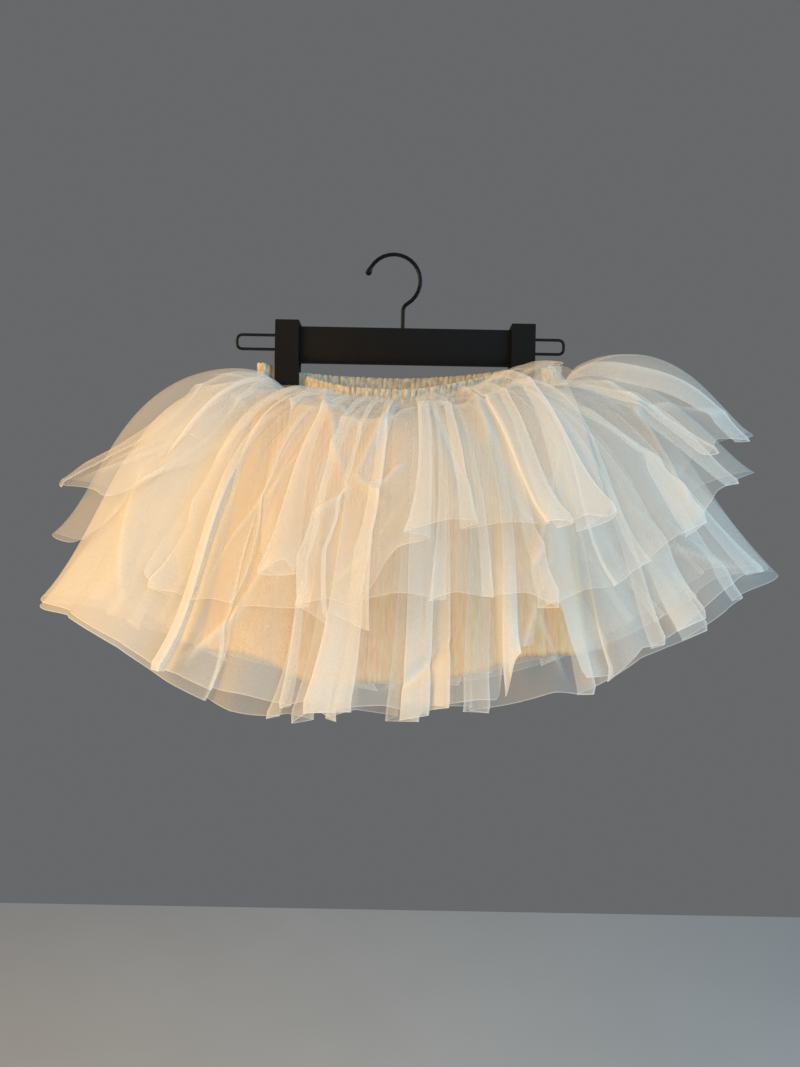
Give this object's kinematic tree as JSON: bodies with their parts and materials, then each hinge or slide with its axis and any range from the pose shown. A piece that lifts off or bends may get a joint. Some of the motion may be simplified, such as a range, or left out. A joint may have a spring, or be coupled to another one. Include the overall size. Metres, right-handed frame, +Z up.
{
  "type": "tulle skirt on clip hanger",
  "caption": "Child's gathered tulle skirt with an elastic waistband, a crinkled lining and short and long tulle tiers, held by a black clip hanger.",
  "frame": {"origin": "the inner top of the hook, where it hangs on a rail or pin", "axes": "+X to the right along the bar, -Y towards the front, +Z up"},
  "size_m": [0.6546, 0.2159, 0.399],
  "materials": {
    "tulle": "sheer ivory net",
    "lining": "fine crinkled cream knit",
    "band": "ruched ivory knit over elastic",
    "wire": "black lacquered wire",
    "plastic": "matte black moulded plastic"
  },
  "bodies": {
    "root": {"waistband": "band", "lining": "lining", "tulle_1_outer": "tulle", "tulle_2_middle": "tulle", "tulle_3_long_outer": "tulle", "tulle_4_long_inner": "tulle", "hanger_hook": "wire", "hanger_bar": "plastic", "wire_loop_left": "wire", "wire_loop_right": "wire", "clip_left": "plastic", "clip_left_jaw": "plastic", "clip_right": "plastic", "clip_right_jaw": "plastic"}
  },
  "joints": []
}
